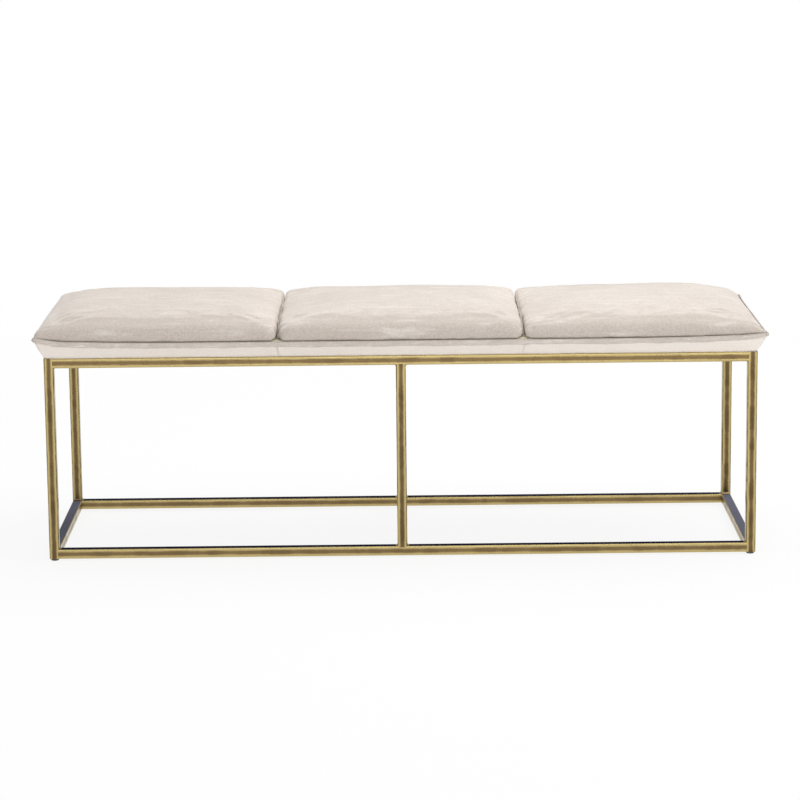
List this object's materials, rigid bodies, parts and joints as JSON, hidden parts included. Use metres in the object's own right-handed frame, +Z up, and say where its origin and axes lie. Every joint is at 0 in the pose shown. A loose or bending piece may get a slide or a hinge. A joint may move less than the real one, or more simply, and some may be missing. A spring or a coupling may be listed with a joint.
{
  "type": "upholstered bench",
  "caption": "Backless upholstered bench: a long crowned seat with sewn channels on an open frame of square brass-finished tube with levelling feet.",
  "frame": {"origin": "on the floor, under the middle of the bench", "axes": "+X along the bench, -Y is its front, +Z up"},
  "size_m": [1.4186, 0.5036, 0.483],
  "materials": {
    "brass_tube": "satin",
    "zinc_steel": "satin",
    "nylon": "satin",
    "plywood": "matte",
    "firm_foam": "matte",
    "soft_foam": "matte",
    "wadding": "matte",
    "velvet": "matte",
    "tape": "matte",
    "dust_cloth": "matte"
  },
  "bodies": {
    "frame": {"leg_front_left": "brass_tube", "leg_front_right": "brass_tube", "leg_rear_left": "brass_tube", "leg_rear_right": "brass_tube", "top_rail_front": "brass_tube", "top_rail_rear": "brass_tube", "top_rail_left": "brass_tube", "top_rail_right": "brass_tube", "bottom_rail_front": "brass_tube", "bottom_rail_rear": "brass_tube", "bottom_rail_left": "brass_tube", "bottom_rail_right": "brass_tube", "centre_post_front": "brass_tube", "centre_post_rear": "brass_tube", "seat_cross_bar": "brass_tube", "leg_caps": "brass_tube", "leg_inserts": "zinc_steel", "weld_fillets": "brass_tube", "seat_tabs": "brass_tube", "seat_board": "plywood", "tee_nuts": "zinc_steel", "seat_washers": "zinc_steel", "seat_screws": "zinc_steel", "base_foam": "firm_foam", "foam_left": "soft_foam", "foam_centre": "soft_foam", "foam_right": "soft_foam", "batting_left": "wadding", "batting_centre": "wadding", "batting_right": "wadding", "cover_left": "velvet", "cover_centre": "velvet", "cover_right": "velvet", "channel_tapes": "tape", "seam_flange": "velvet", "band_front_left": "velvet", "band_front_centre": "velvet", "band_front_right": "velvet", "band_rear_left": "velvet", "band_rear_centre": "velvet", "band_rear_right": "velvet", "band_end_left": "velvet", "band_end_right": "velvet", "cover_hem": "velvet", "cover_staples": "zinc_steel", "dust_cover": "dust_cloth", "dust_cover_staples": "zinc_steel"},
    "pad_front_left": {"foot_pad_front_left": "nylon"},
    "stud_front_left": {"foot_stud_front_left": "zinc_steel"},
    "pad_front_right": {"foot_pad_front_right": "nylon"},
    "stud_front_right": {"foot_stud_front_right": "zinc_steel"},
    "pad_rear_left": {"foot_pad_rear_left": "nylon"},
    "stud_rear_left": {"foot_stud_rear_left": "zinc_steel"},
    "pad_rear_right": {"foot_pad_rear_right": "nylon"},
    "stud_rear_right": {"foot_stud_rear_right": "zinc_steel"}
  },
  "joints": [
    {"name": "foot_lift_front_left", "type": "slide", "parent": "frame", "child": "pad_front_left", "axis": [0, 0, -1], "range_m": [0, 0.008]},
    {"name": "foot_turn_front_left", "type": "hinge", "parent": "pad_front_left", "child": "stud_front_left", "pos_m": [-0.6765, -0.219, 0.012], "axis": [0, 0, -1], "range_deg": [0, 2880]},
    {"name": "foot_lift_front_right", "type": "slide", "parent": "frame", "child": "pad_front_right", "axis": [0, 0, -1], "range_m": [0, 0.008]},
    {"name": "foot_turn_front_right", "type": "hinge", "parent": "pad_front_right", "child": "stud_front_right", "pos_m": [0.6765, -0.219, 0.012], "axis": [0, 0, -1], "range_deg": [0, 2880]},
    {"name": "foot_lift_rear_left", "type": "slide", "parent": "frame", "child": "pad_rear_left", "axis": [0, 0, -1], "range_m": [0, 0.008]},
    {"name": "foot_turn_rear_left", "type": "hinge", "parent": "pad_rear_left", "child": "stud_rear_left", "pos_m": [-0.6765, 0.219, 0.012], "axis": [0, 0, -1], "range_deg": [0, 2880]},
    {"name": "foot_lift_rear_right", "type": "slide", "parent": "frame", "child": "pad_rear_right", "axis": [0, 0, -1], "range_m": [0, 0.008]},
    {"name": "foot_turn_rear_right", "type": "hinge", "parent": "pad_rear_right", "child": "stud_rear_right", "pos_m": [0.6765, 0.219, 0.012], "axis": [0, 0, -1], "range_deg": [0, 2880]}
  ],
  "couplings": [
    {"joint": "foot_turn_front_left", "follows": "foot_lift_front_left", "rad_per_m": 6283.2},
    {"joint": "foot_turn_front_right", "follows": "foot_lift_front_right", "rad_per_m": 6283.2},
    {"joint": "foot_turn_rear_left", "follows": "foot_lift_rear_left", "rad_per_m": 6283.2},
    {"joint": "foot_turn_rear_right", "follows": "foot_lift_rear_right", "rad_per_m": 6283.2}
  ]
}
